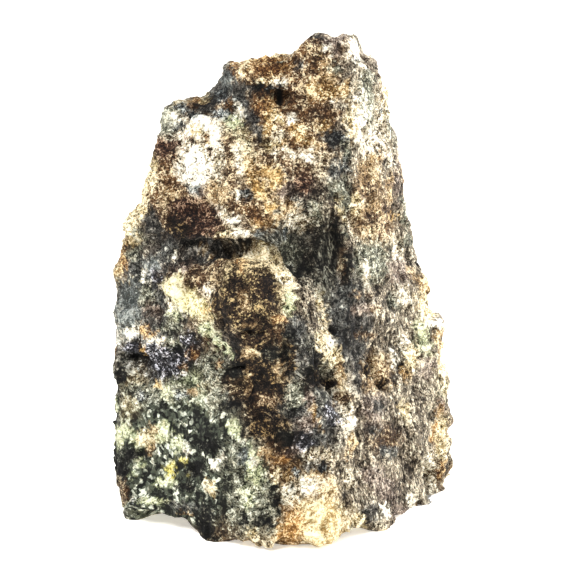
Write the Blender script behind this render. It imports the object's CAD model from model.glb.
"""Orbicular diorite hand specimen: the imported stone, given its crumbly crust, its minerals and a studio.

Sizes are in millimetres and are turned to Blender's metres where they are used. +Z is up, +X is to the
right and -Y is towards the viewer. A place "as the viewer sees it" is given across and up from the middle
of the picture, on the upright plane that the camera aims at.
"""

import math
from itertools import product

import bpy
import numpy as np
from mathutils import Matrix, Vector


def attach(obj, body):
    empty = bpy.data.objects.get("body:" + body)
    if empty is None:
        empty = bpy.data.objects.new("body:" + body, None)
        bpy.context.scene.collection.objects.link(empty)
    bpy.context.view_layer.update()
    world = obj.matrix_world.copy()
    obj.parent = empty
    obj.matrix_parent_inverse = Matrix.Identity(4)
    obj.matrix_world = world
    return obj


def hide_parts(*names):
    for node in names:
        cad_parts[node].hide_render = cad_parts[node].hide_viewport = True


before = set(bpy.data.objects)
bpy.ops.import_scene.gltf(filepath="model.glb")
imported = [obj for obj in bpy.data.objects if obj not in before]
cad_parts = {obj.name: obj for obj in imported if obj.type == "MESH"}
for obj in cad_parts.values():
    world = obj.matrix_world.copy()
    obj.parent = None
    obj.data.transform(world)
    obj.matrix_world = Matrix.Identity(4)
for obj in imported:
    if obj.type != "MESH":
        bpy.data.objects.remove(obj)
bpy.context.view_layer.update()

MM = 0.001
NODE = "diorite_stone"

# Camera: the point it aims at, its distance from there, angle above the horizon, lens, film width and the
# nearest thing it shows.
AIM = Vector((0.0, 0.0, 35.6))
DISTANCE = 322.0
ELEVATION = 12.0
LENS = 128.0
FILM = 36.0
NEAREST = 10.0

# The dressed surface: how near points are merged, the fineness of the new surface, and how often and how
# strongly it is smoothed to lose the facets of the coarse solid.
MERGED = 0.01
FINENESS = 0.42
SMOOTHINGS = 2
SMOOTHING = 0.5

# The broken surface fades out towards the floor over this height, which keeps the resting flats.
FOOT = 0.6

# Each coat of the stone: the colours of its dark, middle and light grains, how the grain leans to light
# (above zero) or dark, how far it is drawn out into streaks (above zero along the foliation, below zero
# along the front's slant) and how far it is made of crystals (0 to 1).
COATS = {
    "foliated diorite": ("#17110b", "#776b5a", "#f0e5cb", 0.00, 0.6, 0.05),
    "fresh diorite": ("#11120f", "#4a4f42", "#e4e7d4", -0.04, 0.0, 1.0),
    "speckled diorite": ("#131312", "#5d5c57", "#d3d0c2", -0.05, 0.2, 0.4),
    "rusty crust": ("#2e1d0e", "#775636", "#ecdcb6", 0.00, -0.15, 0.1),
    "golden crust": ("#4a3215", "#aa8650", "#f8e9c0", 0.05, 0.0, 0.1),
    "brown crust": ("#22160c", "#614831", "#dcc8a2", -0.01, 0.1, 0.1),
    "tan crust": ("#3d2b19", "#9c7f58", "#f0e0ba", 0.05, 0.2, 0.1),
    "bleached feldspar": ("#4a4233", "#d6ceb8", "#fffef6", 0.18, 0.0, 0.1),
    "speckled feldspar": ("#40301e", "#c8bb9e", "#fffdf2", 0.08, 0.0, 0.2),
    "cream feldspar": ("#4a3920", "#c8b382", "#fff6da", 0.10, 0.0, 0.1),
    "pale feldspar pod": ("#8d8052", "#d4ca94", "#f6f1d0", 0.24, 0.0, 0.0),
    "green feldspar": ("#3d422f", "#b3b78c", "#eeefd2", 0.10, 0.0, 0.2),
    "yellow epidote": ("#4a4520", "#c2b556", "#efe59c", 0.12, 0.0, 0.3),
    "ochre stain": ("#5f4522", "#bf985a", "#f4e2ae", 0.08, -0.5, 0.0),
    "orange sand": ("#6e4a24", "#b5894f", "#ecd2a2", 0.04, 0.0, 0.0),
    "cream sand": ("#9a7d4b", "#d6bf8c", "#f6eac4", 0.08, 0.0, 0.0),
    "maroon biotite": ("#120906", "#482d1e", "#b39479", -0.03, 0.0, 0.1),
    "orbicule core": ("#0d0805", "#3b2b1c", "#c2aa79", -0.06, 0.0, 0.2),
    "brown gully": ("#080504", "#2c2015", "#a68a5c", -0.10, 0.0, 0.2),
    "hornblende": ("#040403", "#161612", "#6a685a", -0.12, 0.0, 0.2),
    "slickenside": ("#0e0e0c", "#42423b", "#9f9d91", 0.04, -0.8, 0.0),
    "fluted slickenside": ("#0f0e0c", "#434139", "#969382", 0.03, 0.9, 0.0),
    "dark grey band": ("#0f0e0d", "#45423d", "#a39d92", -0.04, 0.4, 0.1),
    "purple biotite": ("#070709", "#363539", "#dcdae2", -0.03, 0.0, 0.3),
    "blue-grey diorite": ("#383b39", "#6a6e6b", "#aaada6", 0.0, 0.2, 0.0),
    "blue-grey rim": ("#0f1011", "#606463", "#dadcd6", -0.02, 0.0, 0.2),
    "grey-green crust": ("#1b1b14", "#797866", "#e2e1cd", 0.00, 0.2, 0.2),
    "mauve biotite": ("#261c16", "#7c6c60", "#d6c8b6", 0.00, 0.4, 0.0),
    "rust": ("#2e1b0d", "#825a32", "#e6ca94", 0.00, 0.1, 0.1),
}

# Where a coat's numbers stand in its row: three colours, then the three plain values.
DARK, MIDDLE, LIGHT = slice(0, 3), slice(3, 6), slice(6, 9)
LEAN, STREAK, CRYSTAL = 9, 10, 11

# The front's minerals in the order they are laid on: coat, then place across and up, half width and half
# height, as the viewer sees them, and the turn to the left in degrees where there is one.
FRONT = (
    ("fresh diorite", -17, -28, 13, 12.5),
    ("grey-green crust", -5.5, -31, 4.5, 8.5, 8),
    ("speckled diorite", -21, -1, 7, 12),
    ("brown crust", -15, 15, 9, 12),
    ("rusty crust", 2, 29, 11, 12),
    ("slickenside", 2.5, 3.5, 7, 9),
    ("foliated diorite", 2.4, -3, 3.4, 6.4, 25),
    ("foliated diorite", 15.5, 0, 9.5, 26, 12),
    ("foliated diorite", 15, -26, 10, 14),
    ("foliated diorite", 12, 27, 5, 12, 8),
    ("brown gully", -3.5, -14.5, 5, 8, 15),
    ("speckled diorite", 3, -22, 5, 5, 20),
    ("brown crust", -1, -25, 3, 3.4, 20),
    ("brown gully", -3.4, -22.2, 3.6, 1.8, 10),
    ("speckled diorite", 9.6, -4.5, 3.2, 8, 5),
    ("dark grey band", 11, -10, 1.2, 7, 5),
    # Top left shoulder and the notch in the outline.
    ("grey-green crust", -18.6, 26, 1.7, 2.8, -10),
    ("speckled feldspar", -14, 23.8, 3.9, 3.4, -12),
    ("bleached feldspar", -14.8, 19, 2.3, 3.2, 10),
    ("bleached feldspar", -13.8, 26.2, 1.5, 0.8, -10),
    ("bleached feldspar", -11.1, 23.6, 0.5, 1.6, 5),
    ("speckled feldspar", -11.6, 19.6, 1.4, 2.6, 10),
    ("blue-grey rim", -16.8, 28.6, 1.5, 0.9, 20),
    ("rust", -14.6, 29.5, 1.3, 0.6, 12),
    ("cream feldspar", -13, 30.1, 0.9, 0.5, 30),
    ("dark grey band", -12.9, 28.3, 2, 0.7, -18),
    ("dark grey band", -10.6, 31.8, 1.7, 3.6, -35),
    ("blue-grey diorite", -9.2, 32.4, 1, 1.8, -30),
    ("dark grey band", -8.6, 30.6, 1.2, 1.2),
    ("blue-grey rim", -15, 27.3, 1.6, 0.8, -15),
    ("blue-grey rim", -10.3, 27.2, 1.5, 1.1, -20),
    ("blue-grey rim", -10.6, 30, 0.9, 1.1, -30),
    ("bleached feldspar", -17.3, 26.7, 0.8, 0.6, -15),
    ("speckled diorite", -17, 25.3, 1.3, 0.7, 20),
    ("maroon biotite", -15.4, 23.3, 0.8, 0.4, -25),
    ("brown crust", -13.6, 22.9, 1.6, 0.4, 10),
    ("rust", -12.8, 23.4, 0.4, 0.9, 12),
    ("maroon biotite", -12.2, 21.6, 0.4, 0.4),
    ("cream feldspar", -14.6, 24.6, 1.6, 0.5, 10),
    ("maroon biotite", -19.4, 21.3, 1.6, 2.2, 8),
    ("maroon biotite", -17.5, 22.3, 0.7, 0.7),
    ("brown crust", -9.3, 22.4, 1.1, 2.2, 6),
    ("brown crust", -9, 17.2, 1, 2.4),
    ("speckled feldspar", -7.3, 19.6, 0.9, 3, 12),
    ("rusty crust", -18.8, 17.2, 1.7, 2.6, 5),
    ("tan crust", -18.4, 14.5, 1.5, 1.3, 10),
    ("cream feldspar", -21.2, 17.5, 0.7, 3, -12),
    # Left edge and the dark hollow over the main ledge.
    ("cream feldspar", -23.4, 12.5, 1.4, 5.6, -22),
    ("rusty crust", -21.2, 14.2, 0.9, 1.5, -15),
    ("grey-green crust", -23.9, 6.8, 1.5, 2.6, -8),
    ("cream feldspar", -23.8, 7.5, 0.9, 1.2),
    ("rust", -25.8, 4.6, 0.9, 3.2, -12),
    ("golden crust", -26.5, 2.3, 0.5, 1.5),
    ("dark grey band", -21.3, 9.6, 1.2, 3.4, 4),
    ("maroon biotite", -14.6, 10.2, 3.8, 4.2, 12),
    ("maroon biotite", -16.2, 12.8, 2, 1.6),
    ("brown gully", -17.6, 9, 1.8, 2.6),
    ("blue-grey rim", -14.6, 15.4, 1.3, 0.7, -15),
    ("bleached feldspar", -14.6, 17.6, 1.9, 1.5, 10),
    ("tan crust", -11.2, 15, 2.2, 1.6),
    ("mauve biotite", -13.2, 15.3, 0.8, 0.9),
    ("tan crust", -11.4, 13.4, 1.4, 0.6, -40),
    ("speckled diorite", -19.2, 5.6, 1.8, 2.2),
    ("bleached feldspar", -18, 5, 0.45, 0.4),
    ("dark grey band", -14, 6.2, 3.6, 2),
    ("dark grey band", -12, 4.6, 4.6, 1.1, 4),
    ("tan crust", -13.2, 5.4, 0.7, 0.5),
    ("dark grey band", -15.8, 4.6, 1.7, 0.8),
    ("blue-grey diorite", -21.2, 3, 1.2, 1.8),
    ("purple biotite", -20.8, 1.4, 1, 1.6),
    # Crown and the crust below it.
    ("golden crust", -3.4, 35, 3.2, 1.5, 5),
    ("rust", -3.2, 34.6, 2.8, 1.5, 5),
    ("bleached feldspar", -4.6, 36.6, 2.8, 0.4, 8),
    ("bleached feldspar", -8.6, 35.5, 1.6, 0.5, 12),
    ("rust", -7.9, 34, 0.8, 0.9),
    ("cream feldspar", -6.6, 33.9, 0.35, 1.5, -15),
    ("cream feldspar", -2.8, 32.7, 2, 0.45, 8),
    ("bleached feldspar", -0.9, 32, 1.1, 0.8),
    ("hornblende", -4.4, 31.2, 2.4, 0.85, -18),
    ("hornblende", -1.1, 29.9, 1, 0.9),
    ("blue-grey rim", -2.3, 31.6, 0.8, 0.6),
    ("dark grey band", -6.8, 31.6, 1.6, 1, -30),
    ("dark grey band", -6.9, 29.4, 1, 1.6, 30),
    ("rust", -3.4, 29, 1.7, 1.4),
    ("blue-grey rim", -7.9, 28.4, 0.9, 1.5, 5),
    ("bleached feldspar", -7.8, 27.9, 0.7, 1.1, 10),
    ("green feldspar", -8.8, 26.2, 1.1, 0.9, -20),
    ("dark grey band", -5.6, 26, 1.1, 3.8, 28),
    ("dark grey band", -4, 23.6, 0.8, 1.4, 20),
    ("golden crust", -2.9, 26, 1, 2.6, -5),
    ("cream feldspar", -1.6, 26.9, 0.9, 1.2),
    ("bleached feldspar", 0.9, 27.1, 0.8, 1, 10),
    ("golden crust", 1.2, 25.4, 1.3, 0.8),
    ("golden crust", 5.9, 25.4, 1.3, 1.2),
    ("brown crust", 4, 36.6, 0.8, 1.9, 5),
    ("tan crust", 6.2, 34.4, 1.6, 2.4),
    ("mauve biotite", 7.4, 38.2, 2, 1.3),
    ("cream feldspar", 5.4, 37.4, 0.5, 0.7),
    ("bleached feldspar", 6.8, 37.6, 0.7, 0.5),
    ("speckled diorite", 5.2, 39.8, 1.4, 0.6),
    ("grey-green crust", 9.3, 39.5, 0.9, 0.5, -8),
    ("speckled diorite", 1.6, 34.9, 1, 1.2),
    ("brown crust", 2.4, 34, 1.8, 0.5, -20),
    ("grey-green crust", 7.6, 34.8, 1.1, 0.8),
    ("golden crust", 5.4, 31, 3.4, 1.5),
    ("bleached feldspar", 7.4, 29.6, 0.5, 0.45),
    ("brown crust", 2, 30.6, 1.3, 2.2),
    ("brown crust", 4.2, 26.9, 1.3, 1.3),
    ("rusty crust", 7.4, 27.1, 1.5, 1),
    ("speckled feldspar", -1.2, 23.3, 1.2, 1.8, 10),
    ("golden crust", -0.6, 23, 0.4, 0.5),
    ("speckled feldspar", 0.8, 21.2, 1.4, 0.8, -25),
    ("speckled feldspar", 3.2, 20.6, 1.6, 1.2, -10),
    ("bleached feldspar", 3, 20.6, 0.7, 0.5, -10),
    ("golden crust", 2.3, 23.8, 1.8, 1, -20),
    ("speckled feldspar", -2.2, 21.6, 1.1, 0.9),
    ("cream feldspar", -2.6, 22.4, 1.2, 0.9),
    ("tan crust", 4.9, 22, 0.6, 1.3, 30),
    ("speckled diorite", 7.2, 23.4, 1.8, 1.6),
    ("blue-grey rim", 9.2, 20.6, 0.6, 3, 4),
    ("blue-grey rim", 7.9, 23.8, 0.9, 0.8),
    # Ridge on the right of the crown.
    ("bleached feldspar", 11.2, 37, 1.1, 1.5, 15),
    ("speckled feldspar", 12.3, 33.8, 0.7, 2, 8),
    ("blue-grey rim", 11.3, 36.2, 0.9, 0.4, -20),
    ("speckled feldspar", 11.3, 29.9, 0.9, 3.2, 3),
    ("bleached feldspar", 11.6, 26.2, 0.7, 2, -8),
    ("golden crust", 9.3, 31.2, 0.7, 1.6),
    ("cream feldspar", 10.3, 25.8, 0.8, 2.4, -3),
    ("grey-green crust", 13.2, 32.8, 0.7, 2.4, 3),
    ("grey-green crust", 13.2, 29.6, 0.7, 1.5, 8),
    ("speckled feldspar", 15.2, 26.6, 1.5, 5, 8),
    ("grey-green crust", 12.7, 29.6, 0.9, 4.4, 4),
    ("cream feldspar", 15.8, 29.6, 0.6, 3.6, 10),
    ("mauve biotite", 15, 31, 0.25, 2.4, 6),
    ("grey-green crust", 16.6, 25.6, 0.35, 2, 14),
    ("blue-grey rim", 15.3, 27.7, 0.5, 0.5),
    ("speckled feldspar", 13, 22.8, 1.8, 2.4),
    ("rust", 14.8, 20.6, 0.5, 0.9, 5),
    ("speckled feldspar", 16.6, 20.6, 0.8, 2.4, 6),
    ("grey-green crust", 9.4, 21.6, 0.9, 1.6),
    ("golden crust", 13.5, 20.5, 0.4, 0.6),
    # Ochre stain over the main ledge and the lit lip of the ledge.
    ("tan crust", -3.8, 16.6, 2.6, 4, 30),
    ("golden crust", -5.9, 18.4, 0.9, 3.2, 14),
    ("ochre stain", -2.3, 17.6, 1.3, 2.2, 50),
    ("brown crust", -3.2, 20.4, 1.4, 0.5),
    ("ochre stain", -4.4, 15.8, 0.8, 1.8, 25),
    ("brown crust", -3.2, 16, 0.4, 1.8, 40),
    ("ochre stain", -2.8, 12.4, 0.8, 0.7),
    ("bleached feldspar", -7.7, 14.8, 0.6, 0.6),
    ("blue-grey rim", -6.5, 14.6, 0.7, 0.8),
    ("rusty crust", -6, 12.4, 2.2, 1.5, -12),
    ("rust", -3.4, 10.7, 2, 0.5, -12),
    ("tan crust", -2, 10.9, 1.5, 0.7, -12),
    ("brown crust", 2.4, 18.2, 2.2, 1.8, 30),
    ("maroon biotite", 2.6, 16.6, 1.6, 1.8, 8),
    ("mauve biotite", -0.4, 15, 1.4, 1.4, -30),
    ("tan crust", 0.2, 12.2, 1.8, 1.6, -35),
    ("speckled feldspar", -10.6, 11.6, 2.2, 0.8, -40),
    ("bleached feldspar", -8.4, 10.2, 1, 0.6, -35),
    ("cream feldspar", -9.4, 8.6, 3.6, 0.4, 4),
    ("bleached feldspar", -7.2, 8.6, 1.2, 0.45, -8),
    ("hornblende", -7.6, 6.2, 2.2, 0.6, 8),
    ("brown crust", -9.2, 3.8, 3, 0.9, 5),
    ("brown crust", -10.4, 2.3, 1.5, 1.2),
    ("blue-grey diorite", -4.4, 8.6, 1.2, 0.6, -20),
    ("slickenside", -2.4, 6.8, 2.8, 2.2),
    ("grey-green crust", 1.4, 6.2, 1.6, 2.2, 30),
    ("speckled feldspar", 1.4, 1.8, 1.3, 2.1, 30),
    ("cream feldspar", -4, 5.9, 0.5, 0.6, 30),
    ("grey-green crust", 4.4, 12.2, 0.9, 1.8, 5),
    ("speckled feldspar", 1.8, 10.4, 2, 1.1, -20),
    ("blue-grey rim", 0.6, 8.8, 0.6, 0.7),
    ("speckled diorite", 7.4, 18.4, 1.2, 1.8),
    ("grey-green crust", 7.8, 15.6, 1.1, 1.6),
    ("fluted slickenside", 6, 4.4, 1.3, 7.4, 2),
    ("hornblende", 7.7, 7.6, 0.7, 3.4, 4),
    ("brown crust", 8.8, 3.6, 1.2, 2.6),
    ("hornblende", 4, 3.3, 0.8, 1.3),
    ("cream feldspar", 8.9, 12.4, 0.5, 2.2, 12),
    ("grey-green crust", 9.4, 8.9, 0.8, 1.2),
    ("speckled feldspar", 10.2, 9.6, 1.1, 2.4, 4),
    # Orbicule: a dark core in a broken rim of cream feldspar.
    ("cream feldspar", -3.6, 0.2, 4.9, 5.2),
    ("orbicule core", -5.9, -2.4, 5.4, 6),
    ("cream feldspar", -5.6, 4.5, 3, 0.6, -4),
    ("cream feldspar", -1.4, 2.6, 1.3, 1.2, -40),
    ("bleached feldspar", -1, 1.2, 0.8, 0.8),
    ("green feldspar", 0.5, -2.2, 0.8, 2.2, -8),
    ("rust", -7, 2.7, 1, 0.7, -30),
    ("brown gully", -10.6, -3.4, 1.2, 4.2, 8),
    ("hornblende", -11.2, -4.8, 0.9, 1),
    ("tan crust", -6.6, -2.3, 0.8, 1),
    ("rust", -1.5, -5.1, 1, 0.6),
    ("tan crust", -7, -0.8, 0.8, 0.5, 20),
    ("tan crust", -6, -6.3, 1.2, 0.5),
    ("hornblende", -6, -7.4, 1.8, 0.4),
    # Feldspar pod on the left of the orbicule.
    ("brown crust", -15.2, 0.6, 4.6, 3),
    ("mauve biotite", -17, 2.9, 1.5, 0.8, 15),
    ("brown crust", -14.2, 1.9, 1.6, 1.3),
    ("speckled feldspar", -18.6, -3.4, 0.8, 2.2, 15),
    ("brown crust", -12.6, -5.2, 2.2, 0.7, 30),
    ("pale feldspar pod", -15.8, -2.1, 1.7, 4.3, 54),
    ("pale feldspar pod", -17.4, 1.3, 0.9, 1),
    ("pale feldspar pod", -14.2, -3.3, 1.3, 1.3),
    ("speckled feldspar", -12.4, -0.4, 1.1, 0.8, 10),
    ("ochre stain", -12.6, -3.6, 0.6, 0.8, 20),
    ("green feldspar", -12.9, -6.8, 1.5, 1.1, -10),
    ("green feldspar", -11, -8.6, 0.9, 0.6, -35),
    ("green feldspar", -10, -9.4, 0.5, 0.7),
    ("green feldspar", -18, -4.6, 1.2, 1, -30),
    ("bleached feldspar", -22.9, 1.4, 0.6, 1.2, -25),
    ("bleached feldspar", -21.7, 0.9, 0.5, 0.4, -40),
    ("cream feldspar", -24.9, 1.4, 0.4, 0.4),
    # Left middle: smooth blue-grey, a purple-black glitter below, a ledge with its shadow.
    ("blue-grey diorite", -25.2, -3, 2, 4.4, 3),
    ("grey-green crust", -22.4, -1.6, 1.2, 2),
    ("mauve biotite", -21.6, -3.8, 1.5, 1.6),
    ("bleached feldspar", -24.3, -6.9, 1.2, 1, 20),
    ("rust", -22.6, -6.6, 0.9, 1.1, 10),
    ("rust", -21.2, -7.4, 0.8, 0.4),
    ("dark grey band", -22, -5, 1.3, 0.8),
    ("purple biotite", -23.6, -9.5, 2.4, 1.3),
    ("purple biotite", -19, -11.4, 4.2, 3),
    ("purple biotite", -15.5, -9, 1.6, 2.2),
    ("grey-green crust", -18, -8.8, 1.4, 0.8),
    ("grey-green crust", -18.4, -6.2, 2, 1.2, 10),
    ("speckled feldspar", -20, -8.6, 1.4, 0.5, -12),
    ("golden crust", -22.4, -10.2, 0.5, 0.9),
    ("ochre stain", -22.5, -10.3, 0.4, 1, -10),
    ("hornblende", -24, -11.3, 2.4, 0.7, -18),
    ("hornblende", -25.5, -13.6, 1.5, 2),
    ("bleached feldspar", -26.3, -13.3, 0.2, 0.9, 15),
    ("rust", -15.2, -10.3, 0.8, 1),
    ("rusty crust", -16.6, -12.6, 0.4, 1.2),
    ("grey-green crust", -12, -12.5, 2.2, 2.6),
    ("rust", -11.4, -12.1, 0.6, 0.5),
    ("hornblende", -9, -13.6, 2.1, 1.6, 10),
    ("green feldspar", -9.2, -10.2, 0.6, 0.5),
    # Fresh face at the lower left.
    ("grey-green crust", -20.5, -16.4, 6, 1.5),
    ("ochre stain", -20.2, -15.3, 0.8, 0.4),
    ("green feldspar", -18.8, -16.6, 0.8, 1),
    ("tan crust", -14.7, -16.7, 0.7, 0.8, 30),
    ("blue-grey rim", -16.6, -17.2, 0.9, 0.7),
    ("blue-grey rim", -22.6, -17.1, 1.2, 0.6, -15),
    ("grey-green crust", -11.4, -17.6, 1.3, 2.4),
    ("hornblende", -26.4, -23.5, 1, 11.5),
    ("hornblende", -27, -22, 0.9, 4),
    ("green feldspar", -26.3, -18.4, 0.5, 1, 15),
    ("green feldspar", -25.5, -23.9, 0.8, 1.3, 10),
    ("green feldspar", -23.1, -24.2, 0.7, 1.9, 12),
    ("tan crust", -21, -22.4, 0.9, 0.6),
    ("tan crust", -21.4, -25.4, 0.7, 0.9, 20),
    ("green feldspar", -19.6, -23, 1, 1.5, -20),
    ("cream feldspar", -21.6, -23.6, 1.2, 1.4),
    ("hornblende", -23.6, -26.4, 1.6, 1.2),
    ("green feldspar", -24.6, -22.6, 0.9, 1.4),
    ("green feldspar", -22.7, -27.6, 0.6, 0.6),
    ("green feldspar", -23.9, -29.3, 0.6, 0.5),
    ("hornblende", -25, -29.5, 0.7, 2.6),
    ("brown crust", -25.4, -32.3, 1.1, 2.2),
    ("green feldspar", -19.4, -30.6, 1.6, 0.9),
    ("yellow epidote", -18.5, -28.7, 1, 0.9, 10),
    ("yellow epidote", -16.7, -27.2, 0.8, 0.6),
    ("yellow epidote", -15.5, -29.2, 0.5, 0.5, -30),
    ("bleached feldspar", -15.8, -25.2, 0.6, 0.9, 25),
    ("green feldspar", -17.4, -24.6, 1, 1.2, 30),
    ("hornblende", -14.6, -28.4, 1.4, 1.5),
    ("hornblende", -12.6, -24.8, 1.8, 1.3),
    ("bleached feldspar", -10.6, -27, 0.4, 0.7, 30),
    ("bleached feldspar", -11.4, -28.3, 0.7, 0.9, 25),
    ("green feldspar", -8.6, -22.4, 0.9, 1.6, 20),
    ("cream feldspar", -12.3, -31.7, 0.7, 1.3, 25),
    ("hornblende", -16, -31.2, 1.8, 0.7),
    ("green feldspar", -21, -34.2, 4.4, 0.7, 2),
    ("blue-grey rim", -22.6, -34.4, 1.2, 0.4, 4),
    ("bleached feldspar", -23.6, -34, 0.8, 0.6),
    ("speckled diorite", -16.4, -34.6, 2.6, 0.9, -4),
    ("tan crust", -15.9, -35.9, 1.1, 0.35, -6),
    ("hornblende", -12.9, -36.6, 1.5, 2.4),
    ("hornblende", -12.5, -39.4, 1.8, 0.6),
    # Between the fresh face and the nose.
    ("green feldspar", -5.4, -28.3, 1.5, 3.2, 14),
    ("bleached feldspar", -5, -27.8, 0.5, 0.9, 20),
    ("blue-grey diorite", -7, -27, 0.7, 2),
    ("green feldspar", -6.8, -33.6, 1.6, 1.6),
    ("grey-green crust", -8.4, -34.6, 1.8, 2.4),
    ("hornblende", -3.9, -36.9, 1.6, 1.2, -20),
    ("hornblende", -7, -36.4, 0.9, 1.1),
    ("hornblende", -1.8, -31.3, 0.7, 0.6),
    ("hornblende", -1.4, -33.9, 0.8, 1.3, 25),
    ("cream feldspar", -5.6, -39, 0.8, 0.9),
    ("tan crust", -3, -26.4, 0.9, 1.6, 20),
    ("rusty crust", -1.9, -29, 1.1, 1.8, 20),
    ("orange sand", -0.8, -27.4, 0.9, 0.7, -5),
    ("mauve biotite", 1, -25.6, 1.2, 1.2),
    ("cream feldspar", -1.8, -29.6, 0.6, 0.8, 20),
    ("hornblende", -0.3, -23.8, 1.6, 1.3),
    ("purple biotite", 2.6, -24.2, 1.8, 1.6),
    ("dark grey band", 3.2, -27.7, 1.6, 1.7),
    ("speckled feldspar", 3.6, -26.6, 1.2, 0.9, 30),
    ("blue-grey rim", 5.8, -28.2, 1.2, 1),
    ("speckled feldspar", 6.2, -26.4, 1, 1.1),
    # Gully under the orbicule.
    ("hornblende", -2.6, -10.6, 1.8, 1.6),
    ("tan crust", -6, -10.4, 1.5, 1),
    ("tan crust", -6.3, -14.6, 0.6, 1.9, -12),
    ("cream feldspar", -4.6, -9.9, 0.4, 0.7),
    ("tan crust", -1, -13.4, 0.9, 1.4),
    ("brown crust", -3.4, -17.8, 2, 0.7),
    ("hornblende", -8.5, -18.2, 1.1, 0.9),
    ("hornblende", 0.4, -19.4, 1.4, 0.7),
    ("mauve biotite", 3.2, -21.4, 1.6, 1.4),
    ("slickenside", 1.8, -10.4, 2.3, 4.4, -6),
    ("hornblende", -0.3, -11, 0.5, 2),
    ("brown gully", 0.8, -10.8, 0.7, 3),
    ("dark grey band", 2.7, -11, 0.8, 2.4, 5),
    ("grey-green crust", 1.6, -16.8, 1.7, 2, -35),
    ("mauve biotite", 3.4, -17, 0.8, 2.2),
    ("speckled diorite", 1.6, -6.4, 1.8, 2),
    ("hornblende", 0, -7.4, 1.2, 1.6),
    # Crevice on the crest with its wedge of crumbled feldspar.
    ("cream feldspar", 5.7, -3.4, 0.4, 2.6, 4),
    ("hornblende", 4.4, -10.8, 0.4, 2.8),
    ("cream feldspar", 6.3, -9.4, 1.2, 3, 8),
    ("bleached feldspar", 6.6, -8.6, 0.9, 0.9),
    ("cream feldspar", 8.2, -12.6, 0.9, 3.4, 5),
    ("tan crust", 8.3, -13.4, 0.8, 2),
    ("brown gully", 7.3, -6.9, 1, 0.6, -25),
    ("hornblende", 4.2, -12.8, 1.1, 3.4),
    ("brown gully", 5.2, -13.9, 0.9, 1.9),
    ("brown gully", 6.6, -15.1, 1.1, 1),
    ("brown crust", 8.6, -17.4, 1.6, 1.2),
    ("slickenside", 5.6, -17, 1.2, 2, 35),
    ("dark grey band", 6.8, -19.8, 1.2, 2, 20),
    ("golden crust", 4.6, -20.6, 0.35, 1.8, 25),
    ("purple biotite", 7, -20.2, 1.1, 1.9, 15),
    ("tan crust", 4.2, -18.7, 0.5, 0.5),
    ("speckled feldspar", 9.6, -20.8, 1, 2, 8),
    ("bleached feldspar", 9.8, -21.9, 0.6, 0.9),
    ("golden crust", 10.2, -24.6, 0.5, 1.4, 8),
    ("rusty crust", 9.4, -26.2, 0.7, 0.8, 10),
    ("speckled feldspar", 10.2, -30.2, 1, 1.7, 8),
    # Right flank, upper half.
    ("tan crust", 12.8, 17, 2, 3.6),
    ("mauve biotite", 13.2, 12.8, 1.9, 2.4),
    ("brown crust", 12.8, 15.6, 1.2, 1.2),
    ("brown crust", 13.4, 13.8, 1.1, 1),
    ("tan crust", 13.8, 10.4, 3, 4),
    ("rusty crust", 15.2, 9.4, 1.4, 1.8, -10),
    ("brown crust", 13.6, 10.4, 1.1, 1.3),
    ("maroon biotite", 15.9, 11.9, 0.8, 1.6, 20),
    ("ochre stain", 16.8, 11, 0.5, 0.6),
    ("tan crust", 16.4, 15.6, 0.6, 3, -8),
    ("mauve biotite", 17.5, 17, 0.5, 3.6),
    ("grey-green crust", 18.6, 11.6, 0.5, 2.8),
    ("grey-green crust", 18.9, 7.4, 0.8, 1.4),
    ("grey-green crust", 13.2, 4.2, 3, 3.4),
    ("speckled feldspar", 12.4, 2, 0.6, 2.2, 4),
    ("mauve biotite", 17.7, 2.2, 1.2, 2),
    ("tan crust", 19.4, 2.4, 0.6, 1.4, 8),
    ("mauve biotite", 17.4, 3.2, 1.4, 2.4, 5),
    ("speckled feldspar", 17.4, 6, 0.9, 1.7, 8),
    ("golden crust", 21.2, -0.6, 0.8, 2.4, 14),
    ("cream feldspar", 10.8, 13, 0.8, 1.4),
    ("grey-green crust", 9.3, 14.6, 0.8, 3.2),
    ("hornblende", 9.2, 3.6, 0.8, 2.6),
    # Right flank, lower half.
    ("mauve biotite", 11.8, -3.8, 1.4, 1.4),
    ("dark grey band", 12.4, -5.4, 1.4, 1.2),
    ("brown crust", 11.4, -1.2, 1.4, 0.5),
    ("brown crust", 14, -3.4, 1.2, 0.5),
    ("brown crust", 12.6, -7.6, 1.4, 0.8),
    ("foliated diorite", 17.6, -3.6, 2.4, 3.6),
    ("grey-green crust", 17.2, -2.4, 1, 1.2),
    ("speckled feldspar", 18.2, -1.4, 0.9, 1.7, 8),
    ("cream feldspar", 21.4, -3.2, 1.2, 2.4, 14),
    ("bleached feldspar", 23, -5.6, 0.9, 0.6),
    ("golden crust", 23.6, -8.6, 0.6, 2.2, 6),
    ("bleached feldspar", 22.6, -5.4, 0.9, 0.7),
    ("green feldspar", 21, -7.6, 0.9, 2.6, 10),
    ("cream feldspar", 19.4, -10.6, 1, 1.8),
    ("bleached feldspar", 16.6, -11, 0.7, 1.6, 5),
    ("speckled feldspar", 18.6, -8.6, 0.9, 1.6),
    ("tan crust", 14.4, -13.4, 2.2, 3),
    ("brown gully", 13.1, -12.8, 0.6, 1.6, 8),
    ("brown gully", 14.8, -15.2, 1, 0.8, -25),
    ("rusty crust", 14.8, -12.6, 0.8, 1.6),
    ("brown gully", 16.7, -14.6, 0.4, 1.1),
    ("hornblende", 18.2, -12.4, 0.4, 0.9),
    ("mauve biotite", 21.2, -12.8, 1.2, 1.8),
    ("cream feldspar", 23.6, -13.4, 0.6, 3, 8),
    ("golden crust", 18.8, -13.4, 0.5, 1.2),
    ("cream feldspar", 18.5, -19.4, 0.7, 1.7, 10),
    ("mauve biotite", 23.4, -19, 0.9, 1.8),
    ("rust", 23.3, -19.4, 0.4, 1),
    ("brown crust", 15.4, -23.8, 2.8, 2.4),
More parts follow.
